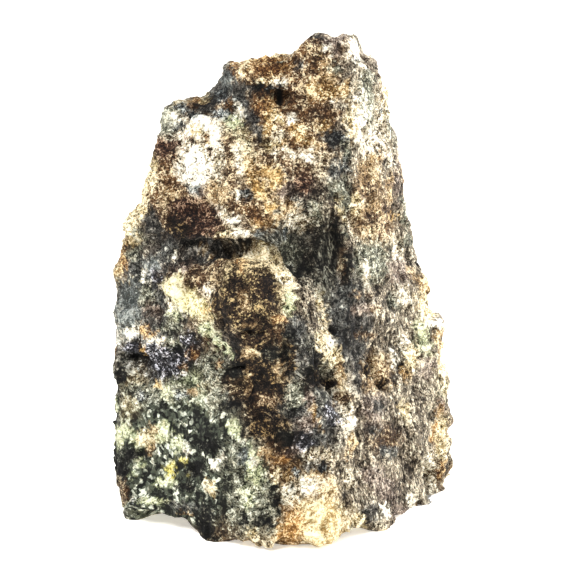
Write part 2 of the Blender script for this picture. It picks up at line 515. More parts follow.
    ("mauve biotite", 13.8, -18.6, 2, 2),
    ("mauve biotite", 13.4, -21.6, 1.4, 1.4),
    ("dark grey band", 14.4, -18.8, 1.1, 1.5),
    ("dark grey band", 13.8, -22.6, 0.9, 1),
    ("speckled diorite", 16.2, -25.8, 1.8, 1),
    ("mauve biotite", 15.6, -31.6, 1.7, 2.2),
    ("mauve biotite", 13.6, -29.8, 1.7, 2),
    ("dark grey band", 13.2, -35.4, 1.4, 1.9),
    ("bleached feldspar", 19.3, -32.8, 0.8, 1.6, 5),
    ("bleached feldspar", 15.4, -35, 0.7, 1.2, 10),
    ("mauve biotite", 17.3, -34.6, 0.9, 1.3),
    ("cream feldspar", 23.9, -23.8, 0.9, 3.8, 3),
    ("orange sand", 22.9, -22.6, 0.4, 2.4),
    ("speckled feldspar", 22.6, -28.4, 1.2, 3, 6),
    ("grey-green crust", 25.8, -25.4, 0.4, 2.8, 3),
    ("rust", 24.1, -29.2, 0.5, 2.4, -10),
    ("orange sand", 21, -34.3, 1.1, 0.8, 12),
    ("yellow epidote", 22.5, -33, 0.4, 0.7),
    ("cream feldspar", 19.4, -35.1, 0.8, 0.6, 10),
    ("cream feldspar", 11.4, -36.6, 0.8, 1.2, 20),
    ("grey-green crust", 9.9, -38.2, 0.9, 0.5, 15),
    # Sandy foot of the nose.
    ("speckled feldspar", 3.6, -31.6, 4, 1.6, 5),
    ("hornblende", 0.6, -31.6, 0.5, 0.8),
    ("tan crust", 6.2, -31.6, 1.6, 1.8),
    ("tan crust", 2.2, -34, 1.8, 1.2),
    ("mauve biotite", 4.4, -32.6, 0.5, 1, 20),
    ("hornblende", 2.2, -33, 0.4, 0.5),
    ("blue-grey rim", 1.2, -29.2, 0.8, 0.6),
    ("cream sand", 5.4, -37, 3.8, 4),
    ("orange sand", 0.8, -37.8, 2.1, 3),
    ("rust", 1, -35.2, 1, 0.4),
    ("orange sand", -1, -39.2, 1.2, 0.9),
)

# The back's minerals in the same order of numbers, across and up from the middle of its foot as seen from
# straight behind.
BACK = (
    ("brown crust", -2, 60, 12, 9),
    ("foliated diorite", 6, 26, 9, 22, -8),
    ("fresh diorite", 17, 12, 8, 10, 10),
    ("speckled feldspar", -15, 14, 6, 9, 15),
    ("brown gully", -1.5, 40, 3, 7, -20),
    ("cream feldspar", -8, 31, 6.2, 6.4),
    ("orbicule core", -8.2, 30.8, 5, 5.4),
    ("tan crust", -9.2, 32.6, 1.3, 0.9, 20),
    ("rust", -5.6, 28, 1, 1.6, -15),
    ("green feldspar", -1.2, 27.4, 1.4, 2.6, 20),
    ("pale feldspar pod", 7.4, 44.6, 1.7, 3.9, -40),
    ("rusty crust", -8, 49, 4, 5, 15),
    ("bleached feldspar", 5, 56, 2.2, 3, -10),
    ("ochre stain", -3.6, 55, 1.6, 2.6, 35),
    ("hornblende", 11, 34, 1.2, 2.6, 10),
    ("maroon biotite", -16, 26, 2.4, 3.4),
    ("golden crust", 12.6, 22, 2, 3.4),
    ("yellow epidote", 17.6, 9, 0.9, 1.2),
    ("green feldspar", 14.6, 13, 1.2, 1.6),
    ("cream feldspar", 20, 16, 1.4, 2.2),
    ("hornblende", -2.6, 12, 1.6, 3, 15),
    ("purple biotite", 3.6, 8, 3.6, 3),
    ("orange sand", -9, 4, 4, 3),
)

# Relief of the front, as the viewer sees it: name, place across and up, half width, half height and turn,
# height (a hollow is below zero) and how flat its middle is.
RELIEF = (
    ("valley beside the notch's face", -4.4, 26.2, 0.9, 3.8, 22, -0.7, 1.5),
    ("hole under the crown", -1, 29.9, 1.3, 1, 0, -1.4, 1.8),
    ("crack left of the hole", -4.2, 31.3, 2.1, 0.6, -20, -0.9, 1.6),
    ("lip over the hole", -2, 32.4, 2.6, 0.8, -8, 0.5, 2),
    ("crack under the ridge's flake", 12.6, 28.9, 0.25, 1.2, 8, -0.6, 1.4),
    ("brow of the upper white face", -13, 26.6, 4.4, 0.8, -24, 0.4, 1.8),
    ("dark hollow over the ledge", -13.6, 11, 3.4, 3.4, 8, -1.1, 2.2),
    ("narrow hollow at the left", -20.6, 7.8, 1.2, 2.8, 4, -0.8, 1.8),
    ("first crease of the ochre", -5.4, 16, 0.35, 2.6, 32, -0.3, 1.4),
    ("second crease of the ochre", -2.6, 14.6, 0.35, 3, 36, -0.35, 1.4),
    ("overhang under the ochre", -1.8, 9.9, 2.4, 0.4, -12, -0.8, 1.4),
    ("lip of the main ledge", -9.2, 8.4, 5, 0.9, -2, 0.6, 1.8),
    ("slot under the main ledge", -10, 6.9, 6.4, 0.7, 3, -0.5, 1.8),
    ("hollow under the main ledge", -10.8, 6, 7, 1.6, 5, -1, 1.8),
    ("way from the ledge to the scoop", -2, 5.4, 4.8, 1.8, -14, -0.9, 1.8),
    ("scoop", 3.4, 4, 4.8, 6, 10, -2, 1.6),
    ("cleft beside the scoop", 7.4, 6.4, 0.8, 4.8, 4, -1.4, 1.6),
    ("ridge beside the cleft", 9.4, 6.2, 1, 5.4, 5, 0.8, 1.8),
    ("orbicule", -5.4, -1.6, 5.4, 5.4, 0, 1, 3),
    ("upper left of the orbicule", -9.2, 2.9, 3.2, 1.8, 8, 1.3, 2.2),
    ("rim of the orbicule", -3.2, 2.6, 3.2, 0.8, -30, 0.5, 1.8),
    ("crack under the orbicule", -5.6, -7.4, 2.2, 0.5, 4, -1.1, 1.6),
    ("cavity below the orbicule", -9, -13.4, 2.5, 1.3, 14, -1.8, 1.8),
    ("slit beside the pod", -19.9, 1.4, 0.3, 2.2, 4, -0.6, 1.4),
    ("feldspar pod", -15.8, -2.1, 1.9, 4.5, 54, 0.7, 2.6),
    ("lip of the left ledge", -24, -9.6, 2.8, 0.8, -20, 0.5, 1.8),
    ("shadow line of the left ledge", -24, -11.2, 2.6, 0.6, -20, -1.5, 1.5),
    ("edge of the glittering patch", -17.6, -13.6, 4.4, 0.6, -6, -0.5, 1.5),
    ("gully", -3.6, -16.4, 4, 6, 12, -0.9, 2),
    ("gully's right groove", -0.2, -10.8, 0.6, 2.8, 8, -1.1, 1.5),
    ("striated wall of the gully", 1.8, -9.8, 1.2, 4.6, 14, 0.5, 1.8),
    ("hole beside the wedge", 7.3, -6.9, 1.1, 0.6, -25, -0.9, 1.8),
    ("left wall of the crevice", 4.6, -10.6, 0.5, 3, 0, -0.6, 1.6),
    ("crumbled wedge", 6.4, -9.8, 1.4, 3, 8, 0.7, 2),
    ("hole at the wedge's foot", 5.7, -14.2, 1.1, 1.9, 4, -1.3, 2),
    ("hole's right arm", 8, -17, 1.2, 0.9, 0, -1.2, 2),
    ("left pit of the flank", 13, -12.8, 0.7, 1.6, 8, -1, 1.6),
    ("lower pit of the flank", 14.8, -15.2, 1.1, 0.7, -25, -1, 1.6),
    ("slot in the flank", 18.2, -12.3, 0.35, 0.9, 0, -0.7, 1.4),
    ("knob on the flank", 10, -20.6, 1.3, 1.9, 8, 0.6, 2),
    ("upper knob on the flank", 16.6, -11.2, 0.7, 1.5, 0, 0.4, 2),
    ("step beside the fresh face", -4.6, -27, 0.8, 6, 14, -0.6, 1.6),
    ("hollow beside the nose", -0.4, -23, 1.8, 2.6, 10, -0.8, 1.8),
    ("slit in the fresh face", -12.9, -32.3, 0.25, 1.6, 25, -0.4, 1.3),
    ("seam beside the sandy foot", -1.6, -35.6, 0.4, 2.6, -14, -0.6, 1.5),
    ("sandy foot", 3.6, -36.8, 4.6, 3.6, 0, 0.4, 2.4),
    ("boss over the foot", 5.8, -30.6, 1.8, 1.6, 0, 0.35, 2),
    ("flake at the foot", 1.8, -30.8, 1.3, 1, -10, 0.4, 2),
    ("chip at the left foot", -24.8, -34.2, 0.9, 1.2, 0, -0.3, 1.6),
)

# Relief of the back in the same order of numbers, across and up as for its minerals.
BACK_RELIEF = (
    ("upper ledge", -2, 53.4, 9, 1.2, 14, 1.1, 1.8),
    ("hollow under the upper ledge", -2.4, 50.8, 8, 1.1, 14, -1.5, 1.8),
    ("spall above the middle", 5, 42, 5, 3.4, 25, -1.1, 2.4),
    ("flake beside the spall", 9.4, 47, 1, 3.6, -30, 0.7, 1.8),
    ("orbicule on the back", -8, 31, 5.4, 5.8, 0, 0.9, 3),
    ("groove beside the orbicule", -2, 31, 0.8, 4.4, -6, -1.4, 1.6),
    ("pit right of the middle", 11, 33.4, 1.2, 2, 10, -1.2, 1.8),
    ("lower ledge", 6, 21.4, 7, 1, -12, 1, 1.8),
    ("hollow under the lower ledge", 6.2, 19, 6.4, 1.1, -12, -1.5, 1.8),
    ("pocket at the foot", -2.6, 11.6, 1.6, 2.4, 15, -1.3, 1.8),
    ("boss at the foot", -14, 12, 4.6, 4, 0, 0.7, 2.4),
    ("seam up the left", -14.6, 44, 0.5, 6, 16, -0.8, 1.6),
)

# A form of the relief ends where the distance from its middle, raised to its flatness, is RELIEF_REACH (its
# oval's edge is at 1). How far its edge strays, and the seeds of that across and up, on each side.
RELIEF_REACH = 1.6
RELIEF_STRAY = 0.6
FRONT_RELIEF_SEEDS = (71, 81)
BACK_RELIEF_SEEDS = (101, 111)

# A hollow looks sunken past this depth, by this share of the rest of its depth.
SUNKEN_FROM = 0.7
SUNKEN_SHARE = 0.5

# Where the fine surface is drawn to one side to meet the stone's true outline, as the viewer sees it: name,
# place across and up, half width, half height, then how far to the right and how far up.
DRAWN = (
    ("lower left edge", -27, -24, 9, 22, -1.35, 0),
    ("left edge over the ledge", -25, 8.5, 5, 7, -1.2, 0.2),
    ("left shoulder", -21.5, 21, 6, 9, -0.8, 0.4),
    ("notch", -10.5, 33.5, 3.5, 4, -0.1, 0.5),
    ("brow beside the notch", -16.8, 30, 3, 2.6, 0.1, -0.6),
    ("crown's left shoulder", -5.4, 36, 6, 5, -0.4, 1.1),
    ("crown's right shoulder", 14, 36, 5, 8, -0.4, 0),
    ("right of the peak", 13, 38.2, 2.4, 3, -0.8, -0.9),
    ("peak of the crown", 11.4, 39.2, 1.8, 2, 0, -0.2),
    ("saddle of the crown", 9.4, 38.4, 2.4, 2.4, 0, 1.1),
    ("top of the crown", 5.6, 39.4, 5, 2.6, 0, 0.4),
    ("right edge's waist", 21.4, -1.2, 4, 4, 1.2, 0),
    ("lower right edge", 25, -14, 8, 18, 1.1, 0),
    ("right foot", 21.5, -33, 8, 7, 0.9, -1.3),
    ("left foot", -22, -36, 6, 4, -2.2, 1.2),
    ("left foot's corner", -25.4, -34.6, 2.6, 2.6, 0.6, -0.6),
    ("step over the front left foot", -16.2, -37.2, 2, 1.8, 0.2, 0.9),
    ("right foot's corner", 23.4, -33, 2.8, 2.6, 0.8, -0.3),
    ("right edge over the foot", 25.8, -30.6, 2.4, 2.2, -1.7, 0.3),
)

# How squarely a point has to face a side (1 is straight on, 0 edge on) to take what belongs to that side:
# nothing at the first number, all of it from the second.
FRONT_MINERALS_FACE = (-0.2, 0.0)
FRONT_RELIEF_FACES = (0.0, 0.3)
BACK_MINERALS_FACE = (0.0, 0.3)
BACK_RELIEF_FACES = (0.0, 0.4)

# How ragged the edge of a mineral patch is: size and reach of each kind of stray, their seeds in each
# direction, and how soft the edge is. A small patch strays less: the share of the full straying that is
# left when it has no size, and what each millimetre adds.
RAGGED = ((3.6, 0.5), (1.3, 0.45), (0.6, 0.25))
RAGGED_SEEDS = (11, 21, 31)
SOFTNESS = 0.3
SMALLEST_STRAY = 0.3
STRAY_PER_MM = 0.3

# Grains that take one coat as a whole, their seed, and how far a grain may stray over its patch's edge.
GRAIN = 0.5
GRAIN_SEED = 91
STRAY = 0.9

# Patches scattered over every side before the named ones: how many, their seed, their least and greatest
# size, how much taller they are than wide, and how often each coat comes up.
PATCHES = 520
PATCH_SEED = 7
PATCH_SIZE = (0.8, 4.2)
PATCH_TALLNESS = 1.6
PATCH_COATS = (
    ("rusty crust", 4),
    ("brown crust", 3),
    ("cream feldspar", 4),
    ("grey-green crust", 4),
    ("mauve biotite", 3),
    ("dark grey band", 3),
    ("tan crust", 3),
    ("golden crust", 2),
    ("bleached feldspar", 2),
    ("hornblende", 1),
    ("speckled feldspar", 3),
    ("maroon biotite", 1),
    ("rust", 2),
    ("speckled diorite", 3),
    ("green feldspar", 1),
    ("ochre stain", 1),
)

# Lumps of the broken surface: size, height and seed. Then how far the surface moves (below zero is inwards)
# to leave room for what stands out.
LUMP = 3.4
LUMP_HEIGHT = 0.35
LUMP_SEED = 31
SINK = -0.15

# Leaning chips of the broken surface: size, height and seed of each kind. Length and reach of the bends in
# a chip's edge, in chip sizes. How much whole chips differ in level, as a share of their height.
CHIPS = ((5.2, 1.2, 41), (2.3, 1.1, 47))
BEND_LENGTH = 0.8
BEND_REACH = 0.25
CHIP_STEP = 0.3

# Crumbs on it: size, height and seed of each kind, how far in from its edge a crumb still rises, in crumb
# sizes, and the middle of the levels that come out, as a share of the height.
CRUMBS = ((1.2, 0.28, 53), (0.7, 0.2, 59))
CRUMB_ROUND = 0.5
CRUMB_MIDDLE = 0.75

# The foliation's streaks and the front's slanting ones: how far they lean from upright towards the left,
# their sign in a coat, and their seed. Their height, their width, and how much longer than wide they are.
STREAKS = ((8.0, 1.0, 61), (46.0, -1.0, 67))
STREAK_HEIGHT = 0.25
STREAK_WIDTH = 0.9
STREAK_LENGTH = 3.0

# How much calmer the broken surface is where it is all crystals, and where it is all streaks.
CRYSTAL_CALM = 0.75
STREAK_CALM = 0.5

# A point that stands out by WEAR_HEIGHT is lighter by WEAR, as worn edges are, and one that lies as deep is
# darker by it, as dirt is. Between the limits, counted in such heights, this goes on evenly.
WEAR = 0.1
WEAR_HEIGHT = 0.4
WEAR_LIMITS = (-1.5, 1.0)

# Grains that the eye sees: the finest ones, coarser ones, and the lumps that they gather in. Real grains
# are finer still in places; they wouldn't show, so they are drawn coarser than they are, at 0.2 mm.
PLAIN_GRAINS = (0.2, 0.45, 1.2)
STREAKED_GRAINS = (0.2, 0.4, 0.9)
CRYSTAL_GRAINS = (0.6, 1.5, 3.0)
CRYSTAL_SHARE = 0.85

# A grain's tone: share of the coarser grain in it, share of the lump, and the span of the lumps' noise that
# is spread from dark to light. Then how strongly noise bends a grain's edge, in sizes of the finest grain.
COARSE_SHARE = 0.36
LUMP_SHARE = 0.32
LUMP_SPAN = (0.3, 0.7)
GRAIN_BEND = 1.6

# Tones over which the middle colour takes over from the dark one, and the light colour from the middle one.
MIDDLE_FROM = (0.38, 0.52)
LIGHT_FROM = (0.57, 0.71)

# Rust and bluish dust on single grains: colour, the grain's random number at which it starts, and the one
# at which it is full. Then how strong it is when full.
TINTS = (("#a08858", 0.55, 1.0), ("#9fb0b4", 0.45, 0.0))
TINT_STRENGTH = 0.4

# Roughness of dark and of light grains, the tones between which it changes, and how much is mirrored.
ROUGHNESS = (0.9, 0.65)
ROUGHNESS_SPAN = (0.1, 0.9)
SPECULAR = 0.2

# Grains too small for the surface itself stand out in the shading by this much.
GRAIN_RELIEF = 0.22
GRAIN_RELIEF_STRENGTH = 0.9

# Studio: the floor's side, the glow that keeps it white far away (its strength near and far, and how near
# and far that is), the surround's strength, and the softboxes with their place, side and power in watts.
FLOOR = 6000.0
GLOW = (0.5, 1.0)
GLOW_SPAN = (200.0, 1200.0)
SURROUND = 0.2
SOFTBOXES = (
    ("top_softbox", (-400, -750, 1050), 600, 22.0),
    ("left_softbox", (-600, 150, 350), 350, 1.6),
    ("right_softbox", (600, -50, 400), 350, 4.0),
    ("right_rim_softbox", (450, 300, 350), 300, 4.0),
)

# Numbers that mix the bits of a cell's place into a random number, a multiplier for each of three more,
# what brings smooth noise to about -1 to 1, and a distance that no grain reaches, in grain sizes.
MIXERS = (73856093, 19349663, 83492791, 40503)
STIR = 0x45D9F3B
BITS = 0xFFFFFFFF
FURTHER = (17, 31, 53)
CLOUD_GAIN = 3.0
FAR = 9.0


def linear(code):
    """An sRGB hex colour as linear red, green and blue."""
    parts = [int(code[place : place + 2], 16) / 255 for place in (1, 3, 5)]
    return [part / 12.92 if part <= 0.04045 else ((part + 0.055) / 1.055) ** 2.4 for part in parts]


def chance(cells, seed):
    """A repeatable random number from 0 to 1 for each whole-numbered cell of space."""
    keys = seed * MIXERS[3]
    for axis in range(3):
        keys = keys ^ cells[..., axis] * MIXERS[axis]
    keys = keys & BITS
    for _round in range(2):
        keys = (keys >> 16 ^ keys) * STIR & BITS
    return (keys >> 16 ^ keys) / BITS


def cloud(points, size, seed):
    """Smooth noise of about -1 to 1 whose lumps are about one size across."""
    place = points / size
    cell = np.floor(place).astype(np.int64)
    part = place - cell
    eased = part * part * part * (part * (6 * part - 15) + 10)
    total = np.zeros(len(points))
    for corner in product((0, 1), repeat=3):
        near = np.array(corner)
        slope = np.stack([chance(cell + near, seed * 3 + axis) - 0.5 for axis in range(3)], axis=1)
        weight = np.prod(np.where(near == 1, eased, 1 - eased), axis=1)
        total += weight * np.einsum("ij,ij->i", slope, part - near)
    return CLOUD_GAIN * total


def grains(points, size, seed):
    """The grain that each point belongs to: offset from its centre, how far inside, and a random number."""
    place = points / size
    cell = np.floor(place).astype(np.int64)
    first = np.full(len(points), FAR)
    second = np.full(len(points), FAR)
    offset = np.zeros_like(points)
    lot = np.zeros(len(points))
    for step in product((-1, 0, 1), repeat=3):
        there = cell + np.array(step)
        centre = there + np.stack([chance(there, seed * 5 + axis) for axis in range(3)], axis=1)
        apart = place - centre
        distance = np.sqrt(np.einsum("ij,ij->i", apart, apart))
        closer = distance < first
        second = np.where(closer, first, np.minimum(second, distance))
        first = np.where(closer, distance, first)
        offset = np.where(closer[:, None], apart, offset)
        lot = np.where(closer, chance(there, seed * 5 + 4), lot)
    return offset, second - first, lot


def lots(lot):
    """Three more random numbers from -0.5 to 0.5 out of each one from 0 to 1."""
    return np.stack([lot * factor % 1 - 0.5 for factor in FURTHER], axis=1)


def fade(distance):
    """1 at zero, falling smoothly to 0 at a distance of 1."""
    left = np.clip(1.0 - distance, 0.0, 1.0)
    return left * left * (3.0 - 2.0 * left)


def between(value, span):
    """0 up to the start of a span, 1 from its end, and rising evenly from one to the other."""
    start, end = span
    return np.clip((value - start) / (end - start), 0.0, 1.0)


def viewpoint():
    """Where the camera stands, and the directions forward, to the right and up from there."""
    tilt = math.radians(ELEVATION)
    forward = Vector((0.0, math.cos(tilt), -math.sin(tilt)))
    right = Vector((1.0, 0.0, 0.0))
    return AIM - DISTANCE * forward, forward, right, right.cross(forward)


def seen_in_front(points):
    """Where the viewer sees each point, across and up from the middle of the picture."""
    eye, forward, right, up = (np.array(part) for part in viewpoint())
    offset = points - eye
    depth = offset @ forward
    return offset @ right / depth * DISTANCE, offset @ up / depth * DISTANCE


def seen_behind(points):
    """Where each point is seen from straight behind, across and up from the middle of the stone's foot."""
    return -points[:, 0], points[:, 2]


def facing(points, normals):
    """How squarely each point faces the viewer: 1 straight on, 0 edge on, below zero turned away."""
    towards = np.array(viewpoint()[0]) - points
    towards /= np.linalg.norm(towards, axis=1)[:, None]
    return np.einsum("ij,ij->i", normals, towards)


def in_oval(across, up, place_across, place_up, half_width, half_height, turn=0.0):
    """Distance from the middle of a turned oval, where 1 is its edge."""
    angle = math.radians(turn)
    run = (across - place_across) * math.cos(angle) + (up - place_up) * math.sin(angle)
    rise = (up - place_up) * math.cos(angle) - (across - place_across) * math.sin(angle)
    return np.hypot(run / half_width, rise / half_height)


def covered(distance):
    """How far a patch covers each point at a distance from its middle, where 1 is its edge."""
    return np.clip((1.0 + SOFTNESS - distance) / (2 * SOFTNESS), 0.0, 1.0)


def ragged(points, seed):
    """How far the edge of a mineral patch strays at each point."""
    return sum(reach * cloud(points, size, seed + number) for number, (size, reach) in enumerate(RAGGED))


def only(piece):
    """Makes one piece the active and only selected object."""
    bpy.ops.object.select_all(action="DESELECT")
    piece.select_set(True)
    bpy.context.view_layer.objects.active = piece


def finished_with(piece, kind, **settings):
    """Adds a modifier with its settings and applies it."""
    modifier = piece.modifiers.new(kind.lower(), kind)
    for name, value in settings.items():
        setattr(modifier, name, value)
    only(piece)
    bpy.ops.object.modifier_apply(modifier=modifier.name)


def fine_copy():
    """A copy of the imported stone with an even, fine surface that has lost the solid's flat triangles."""
    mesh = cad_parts[NODE].data.copy()
    mesh.name = "crusted_stone"
    stone = bpy.data.objects.new("crusted_stone", mesh)
    bpy.context.scene.collection.objects.link(stone)
    only(stone)
    bpy.ops.object.mode_set(mode="EDIT")
    bpy.ops.mesh.select_all(action="SELECT")
    bpy.ops.mesh.remove_doubles(threshold=MERGED * MM)
    bpy.ops.object.mode_set(mode="OBJECT")
    finished_with(stone, "REMESH", mode="VOXEL", voxel_size=FINENESS * MM)
    finished_with(stone, "SMOOTH", factor=SMOOTHING, iterations=SMOOTHINGS)
    return stone


def read(source, name):
    """Three numbers of each point of a mesh."""
    values = np.zeros(len(source) * 3, np.float32)
    source.foreach_get(name, values)
    return values.reshape(-1, 3).astype(float)


def coat_rows():
    """Each coat as one row: colours of the dark, middle and light grains, lean, streaks and crystals."""
    return {
        name: np.array([*linear(dark), *linear(middle), *linear(light), lean, streak, crystal])
        for name, (dark, middle, light, lean, streak, crystal) in COATS.items()
    }


def scatter(points, surface, coats):
    """Strews seeded patches of the commoner coats over every side of the stone."""
    names = [name for name, times in PATCH_COATS for _time in range(times)]
    draw = np.random.default_rng(PATCH_SEED)
    shape = np.array([1.0, 1.0, 1.0 / PATCH_TALLNESS])
    for _patch in range(PATCHES):
        centre = points[draw.integers(len(points))]
        size = draw.uniform(*PATCH_SIZE)
        coat = coats[names[draw.integers(len(names))]]
        share = covered(np.linalg.norm((points - centre) * shape, axis=1) / size)
        surface += share[:, None] * (coat - surface)


def lay_on(surface, minerals, coats, place, strays, seen):
    """Lays one side's list of minerals on the stone as far as each point is seen from there."""
    across, up = place
    for coat, *oval in minerals:
        calm = min(1.0, SMALLEST_STRAY + STRAY_PER_MM * min(oval[2:4]))
        distance = in_oval(across + calm * strays[:, 0], up + calm * strays[:, 1], *oval)
        share = covered(distance) * seen
        surface += share[:, None] * (coats[coat] - surface)


def laid_minerals(points, normals):
    """Lays the coats on the stone, a grain at a time, and returns one row of coat values for each point."""
    coats = coat_rows()
    surface = np.tile(coats["foliated diorite"], (len(points), 1))
    offset, _inside, lot = grains(points, GRAIN, GRAIN_SEED)
    centres = points - GRAIN * offset + STRAY * lots(lot)
    strays = np.stack([ragged(points, seed) for seed in RAGGED_SEEDS], axis=1)
    scatter(centres + strays, surface, coats)
    seen = between(normals[:, 1], BACK_MINERALS_FACE)
    lay_on(surface, BACK, coats, seen_behind(centres), strays, seen)
    seen = between(facing(points, normals), FRONT_MINERALS_FACE)
    lay_on(surface, FRONT, coats, seen_in_front(centres), strays, seen)
    return surface


def drawn_out(points, lean):
    """The points squeezed along a line that leans from upright, so that noise on them makes streaks."""
    turn = math.radians(lean)
    along = points[:, 2] * math.cos(turn) - points[:, 0] * math.sin(turn)
    cross = points[:, 0] * math.cos(turn) + points[:, 2] * math.sin(turn)
    return np.stack([cross, points[:, 1], along / STREAK_LENGTH], axis=1)


def broken_crust(points, surface):
    """Height of the hackly chips, crumbs and streaks at each point, and how rough its coat is."""
    streak = surface[:, STREAK]
    rough = 1.0 - CRYSTAL_CALM * surface[:, CRYSTAL] - STREAK_CALM * np.abs(streak)
    crust = np.zeros(len(points))
    for size, height, seed in CHIPS:
        bend = np.stack([cloud(points, BEND_LENGTH * size, seed + step) for step in (1, 2, 3)], axis=1)
        offset, _inside, lot = grains(points + BEND_REACH * size * bend, size, seed)
        crust += height * (np.einsum("ij,ij->i", offset, lots(lot)) + CHIP_STEP * (lot - 0.5)) * rough
    for size, height, seed in CRUMBS:
        _offset, inside, lot = grains(points, size, seed)
        crust += height * (np.clip(inside, 0.0, CRUMB_ROUND) + lot - CRUMB_MIDDLE) * rough
    for lean, sign, seed in STREAKS:
        wave = cloud(drawn_out(points, lean), STREAK_WIDTH, seed)
        crust += STREAK_HEIGHT * wave * np.clip(sign * streak, 0.0, 1.0)
    return crust, rough


def add_relief(move, stand, points, relief, place, seeds, seen):
    """Adds one side's relief to how far the points move, and lets its deeper hollows look sunken."""
    across, up = (part + RELIEF_STRAY * ragged(points, seed) for part, seed in zip(place, seeds))
    for _name, *oval, height, flatness in relief:
        rise = height * fade(in_oval(across, up, *oval) ** flatness / RELIEF_REACH) * seen
        move += rise
        stand += SUNKEN_SHARE * np.minimum(rise + SUNKEN_FROM, 0.0)


def crusted(points, normals, surface):
    """Moves the points out and in: lumps, the broken crust, both sides' named relief and the outline. It
    returns the moved points, and how far each one stands above (or below zero, under) those around it."""
    crust, rough = broken_crust(points, surface)
    move = LUMP_HEIGHT * cloud(points, LUMP, LUMP_SEED) * rough + crust + SINK
    stand = crust.copy()
    place = seen_in_front(points)
    seen = between(facing(points, normals), FRONT_RELIEF_FACES)
    add_relief(move, stand, points, RELIEF, place, FRONT_RELIEF_SEEDS, seen)
    seen = between(normals[:, 1], BACK_RELIEF_FACES)
    add_relief(move, stand, points, BACK_RELIEF, seen_behind(points), BACK_RELIEF_SEEDS, seen)
    held = np.clip(points[:, 2] / FOOT, 0.0, 1.0)
    moved = points + normals * (move * held)[:, None]
    for _name, *oval, right, rise in DRAWN:
        share = fade(in_oval(*place, *oval))
        moved[:, 0] += share * right
        moved[:, 2] += share * rise * held
    moved[:, 2] = np.maximum(moved[:, 2], 0.0)
    return moved, stand


def node(tree, kind, inputs=None, **settings):
    """Adds a shader node with its settings; an input is a plain value or another node's output."""
    made = tree.nodes.new(kind)
    for name, value in settings.items():
        setattr(made, name, value)
    for name, value in (inputs or {}).items():
        if isinstance(value, bpy.types.NodeSocket):
            tree.links.new(value, made.inputs[name])
        else:
            made.inputs[name].default_value = value
    return made


def grain_of(tree, place, fine, coarse, lump):
    """Salt and pepper: fine and coarse grains, each of its own tone, in lighter and darker lumps. Returns
    the tone of each place and a random number for each coarse grain."""
    bends = {"Vector": place, "Scale": 1.0 / (2.0 * fine * MM), "Detail": 1.0}
    bends = node(tree, "ShaderNodeTexNoise", bends).outputs["Color"]
    bends = {0: bends, 1: (0.5, 0.5, 0.5)}
    bends = node(tree, "ShaderNodeVectorMath", bends, operation="SUBTRACT").outputs[0]
    bent = {0: bends, 1: [GRAIN_BEND * fine * MM] * 3, 2: place}
    bent = node(tree, "ShaderNodeVectorMath", bent, operation="MULTIPLY_ADD").outputs[0]
    cell = node(tree, "ShaderNodeTexVoronoi", {"Vector": bent, "Scale": 1.0 / (fine * MM)})
    small = node(tree, "ShaderNodeSeparateColor", {"Color": cell.outputs["Color"]})
    cell = node(tree, "ShaderNodeTexVoronoi", {"Vector": bent, "Scale": 1.0 / (coarse * MM)})
    large = node(tree, "ShaderNodeSeparateColor", {"Color": cell.outputs["Color"]})
    lumps = {"Vector": bent, "Scale": 1.0 / (lump * MM), "Detail": 3.0, "Roughness": 0.7}
    lumps = node(tree, "ShaderNodeTexNoise", lumps).outputs["Fac"]
    spread = {"Value": lumps, "From Min": LUMP_SPAN[0], "From Max": LUMP_SPAN[1]}
    spread = node(tree, "ShaderNodeMapRange", spread).outputs["Result"]
    tone = {0: COARSE_SHARE, 2: small.outputs[0], 3: large.outputs[0]}
    tone = node(tree, "ShaderNodeMix", tone, data_type="FLOAT").outputs[0]
    tone = {0: LUMP_SHARE, 2: tone, 3: spread}
    return node(tree, "ShaderNodeMix", tone, data_type="FLOAT").outputs[0], large.outputs[1]


def streaked(tree, place, grain, streak):
    """The grain with its streaks along the foliation and along the front's slant, where a coat has them."""
    for lean, sign, _seed in STREAKS:
        turn = (0.0, -math.radians(lean), 0.0)
        drawn = {"Vector": place, "Rotation": turn, "Scale": (1.0, 1.0, STREAK_LENGTH)}
        drawn = node(tree, "ShaderNodeMapping", drawn, vector_type="TEXTURE").outputs["Vector"]
        streaks = grain_of(tree, drawn, *STREAKED_GRAINS)[0]
        share = {0: streak, 1: sign}
        share = node(tree, "ShaderNodeMath", share, operation="MULTIPLY", use_clamp=True).outputs[0]
        grain = {0: share, 2: grain, 3: streaks}
        grain = node(tree, "ShaderNodeMix", grain, data_type="FLOAT").outputs[0]
    return grain


def crystalline(tree, place, grain, crystal):
    """The grain with its larger crystals, where a coat has them."""
    crystals = grain_of(tree, place, *CRYSTAL_GRAINS)[0]
    share = {0: crystal, 1: CRYSTAL_SHARE}
    share = node(tree, "ShaderNodeMath", share, operation="MULTIPLY").outputs[0]
    grain = {0: share, 2: grain, 3: crystals}
    return node(tree, "ShaderNodeMix", grain, data_type="FLOAT").outputs[0]


